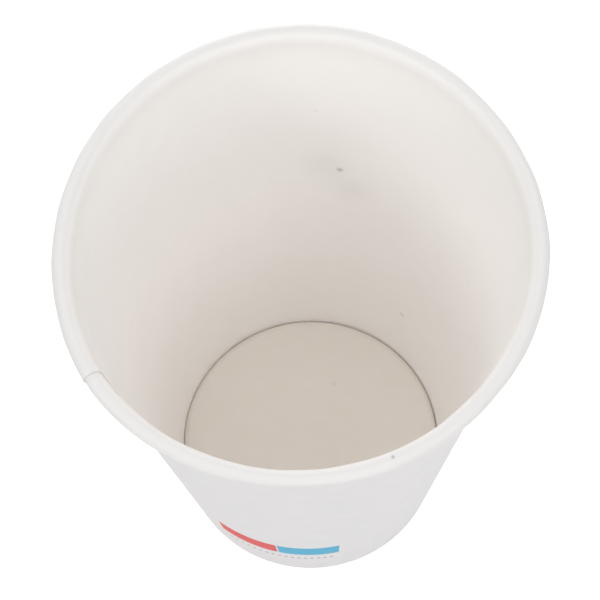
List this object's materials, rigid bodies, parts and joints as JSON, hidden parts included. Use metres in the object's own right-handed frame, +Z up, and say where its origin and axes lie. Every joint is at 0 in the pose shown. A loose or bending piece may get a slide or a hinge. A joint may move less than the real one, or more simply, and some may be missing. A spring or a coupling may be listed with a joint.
{
  "type": "paper coffee cup",
  "caption": "Single-wall paper coffee cup: a tapered side wall with a rolled rim and a lapped seam, and a recessed base held in the folded foot.",
  "frame": {"origin": "middle of the foot, on the table that the cup stands on", "axes": "+Z up along the cup's axis, -Y towards the printed front"},
  "size_m": [0.09, 0.0901, 0.115],
  "materials": {
    "wall_board": "satin",
    "base_board": "satin"
  },
  "bodies": {
    "root": {"side_wall": "wall_board", "base_disc": "base_board"}
  },
  "joints": []
}
